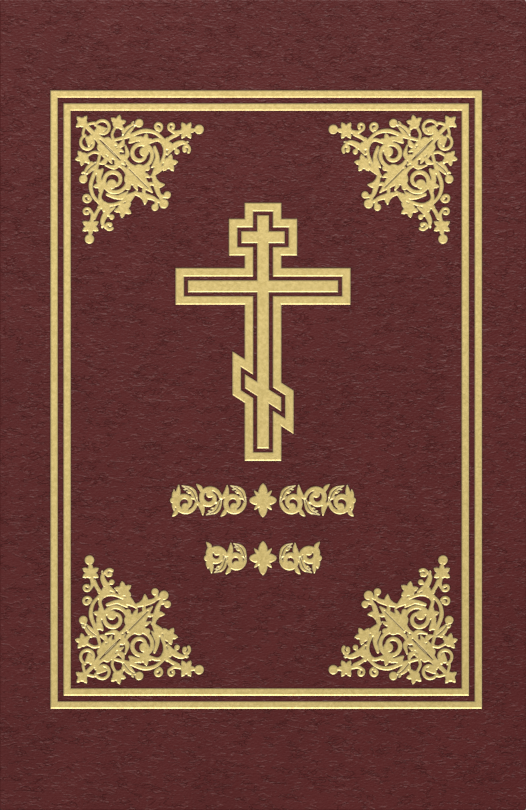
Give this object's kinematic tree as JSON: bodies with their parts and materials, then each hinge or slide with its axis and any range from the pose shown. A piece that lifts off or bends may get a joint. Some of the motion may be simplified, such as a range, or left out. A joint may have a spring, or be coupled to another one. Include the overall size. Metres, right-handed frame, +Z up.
{
  "type": "prayer book",
  "caption": "Hand-sized leather-bound prayer book with gold-tooled rules, corner scrolls and a three-bar cross; case, hollow spine and sewn page block open on hinges.",
  "frame": {"origin": "middle of the closed book's footprint, on the surface it lies on", "axes": "+Z up through the front cover, +Y towards the head (top) of the page, +X from the spine towards the fore edge"},
  "size_m": [0.1296, 0.184, 0.0274],
  "materials": {
    "cover_leather": "fine-grained burgundy leather, satin",
    "joint_leather": "the same leather, flexed in the groove",
    "gold_foil": "pale gold blocking foil, satin",
    "binders_board": "grey-brown millboard",
    "spine_card": "manila card",
    "page_paper": "uncoated cream book paper",
    "endpaper": "cream endpaper",
    "lining_paper": "kraft paper",
    "mull_cloth": "open-weave starched cotton",
    "headband_silk": "striped woven headband",
    "linen_thread": "waxed linen thread"
  },
  "bodies": {
    "back_cover": {"back_cover_leather": "cover_leather", "back_board": "binders_board", "back_board_infill": "lining_paper", "back_mull_flange": "mull_cloth", "back_pastedown": "endpaper"},
    "back_flyleaf_body": {"back_flyleaf": "endpaper"},
    "back_half": {"back_section_01": "page_paper", "back_section_02": "page_paper", "back_section_03": "page_paper", "back_section_04": "page_paper", "back_section_05": "page_paper", "back_section_06": "page_paper", "back_section_07": "page_paper", "back_section_08": "page_paper", "back_section_09": "page_paper", "back_section_10": "page_paper", "back_section_11": "page_paper", "back_section_12": "page_paper", "back_sewing_thread": "linen_thread", "back_flyleaf_tip": "page_paper"},
    "spine": {"back_joint_leather": "joint_leather", "front_joint_leather": "joint_leather", "spine_leather": "cover_leather", "spine_inlay": "spine_card", "spine_mull": "mull_cloth", "spine_lining": "lining_paper", "head_band": "headband_silk", "tail_band": "headband_silk", "spine_band_foil": "gold_foil"},
    "front_half": {"front_section_01": "page_paper", "front_section_02": "page_paper", "front_section_03": "page_paper", "front_section_04": "page_paper", "front_section_05": "page_paper", "front_section_06": "page_paper", "front_section_07": "page_paper", "front_section_08": "page_paper", "front_section_09": "page_paper", "front_section_10": "page_paper", "front_section_11": "page_paper", "front_section_12": "page_paper", "front_sewing_thread": "linen_thread", "front_flyleaf_tip": "page_paper"},
    "front_flyleaf_body": {"front_flyleaf": "endpaper"},
    "front_cover": {"front_cover_leather": "cover_leather", "front_board": "binders_board", "front_board_infill": "lining_paper", "front_mull_flange": "mull_cloth", "front_pastedown": "endpaper", "outer_rule_foil": "gold_foil", "inner_rule_foil": "gold_foil", "cross_outline_foil": "gold_foil", "cross_bar_foil": "gold_foil", "corner_ornament_foil": "gold_foil", "upper_ornament_foil": "gold_foil", "lower_ornament_foil": "gold_foil"},
    "leaf_1": {"turning_leaf_1": "page_paper"},
    "leaf_2": {"turning_leaf_2": "page_paper"},
    "leaf_3": {"turning_leaf_3": "page_paper"},
    "leaf_4": {"turning_leaf_4": "page_paper"}
  },
  "joints": [
    {"name": "back_cover_hinge", "type": "hinge", "parent": "back_cover", "child": "back_half", "pos_m": [-0.06225, 0, 0.0025], "axis": [0, -1, 0], "range_deg": [0, 60], "deforming": ["back_joint_leather"]},
    {"name": "back_flyleaf_turn", "type": "hinge", "parent": "back_half", "child": "back_flyleaf_body", "pos_m": [-0.05825, 0, 0.00323], "axis": [0, -1, 0], "range_deg": [-30, 0]},
    {"name": "book_opening", "type": "hinge", "parent": "back_half", "child": "spine", "pos_m": [-0.06225, 0, 0.0025], "axis": [0, -1, 0], "range_deg": [0, 90]},
    {"name": "spine_to_front_half", "type": "hinge", "parent": "spine", "child": "front_half", "pos_m": [-0.06225, 0, 0.02486], "axis": [0, -1, 0], "range_deg": [0, 90]},
    {"name": "front_cover_hinge", "type": "hinge", "parent": "front_half", "child": "front_cover", "pos_m": [-0.06225, 0, 0.02486], "axis": [0, -1, 0], "range_deg": [0, 120], "deforming": ["front_joint_leather"]},
    {"name": "front_flyleaf_turn", "type": "hinge", "parent": "front_half", "child": "front_flyleaf_body", "pos_m": [-0.05825, 0, 0.02414], "axis": [0, -1, 0], "range_deg": [0, 60]},
    {"name": "leaf_1_turn", "type": "hinge", "parent": "spine", "child": "leaf_1", "pos_m": [-0.06215, 0, 0.01345], "axis": [0, -1, 0], "range_deg": [-37.8, 0]},
    {"name": "leaf_2_turn", "type": "hinge", "parent": "spine", "child": "leaf_2", "pos_m": [-0.06215, 0, 0.01359], "axis": [0, -1, 0], "range_deg": [-13.5, 0]},
    {"name": "leaf_3_turn", "type": "hinge", "parent": "spine", "child": "leaf_3", "pos_m": [-0.06215, 0, 0.01375], "axis": [0, -1, 0], "range_deg": [0, 13.5]},
    {"name": "leaf_4_turn", "type": "hinge", "parent": "spine", "child": "leaf_4", "pos_m": [-0.06215, 0, 0.01389], "axis": [0, -1, 0], "range_deg": [0, 37.8]}
  ],
  "couplings": [
    {"joint": "back_flyleaf_turn", "follows": "back_cover_hinge", "ratio": -0.5},
    {"joint": "spine_to_front_half", "follows": "book_opening", "ratio": 1},
    {"joint": "front_flyleaf_turn", "follows": "front_cover_hinge", "ratio": 0.5},
    {"joint": "leaf_1_turn", "follows": "book_opening", "ratio": -0.42},
    {"joint": "leaf_2_turn", "follows": "book_opening", "ratio": -0.15},
    {"joint": "leaf_3_turn", "follows": "book_opening", "ratio": 0.15},
    {"joint": "leaf_4_turn", "follows": "book_opening", "ratio": 0.42}
  ]
}
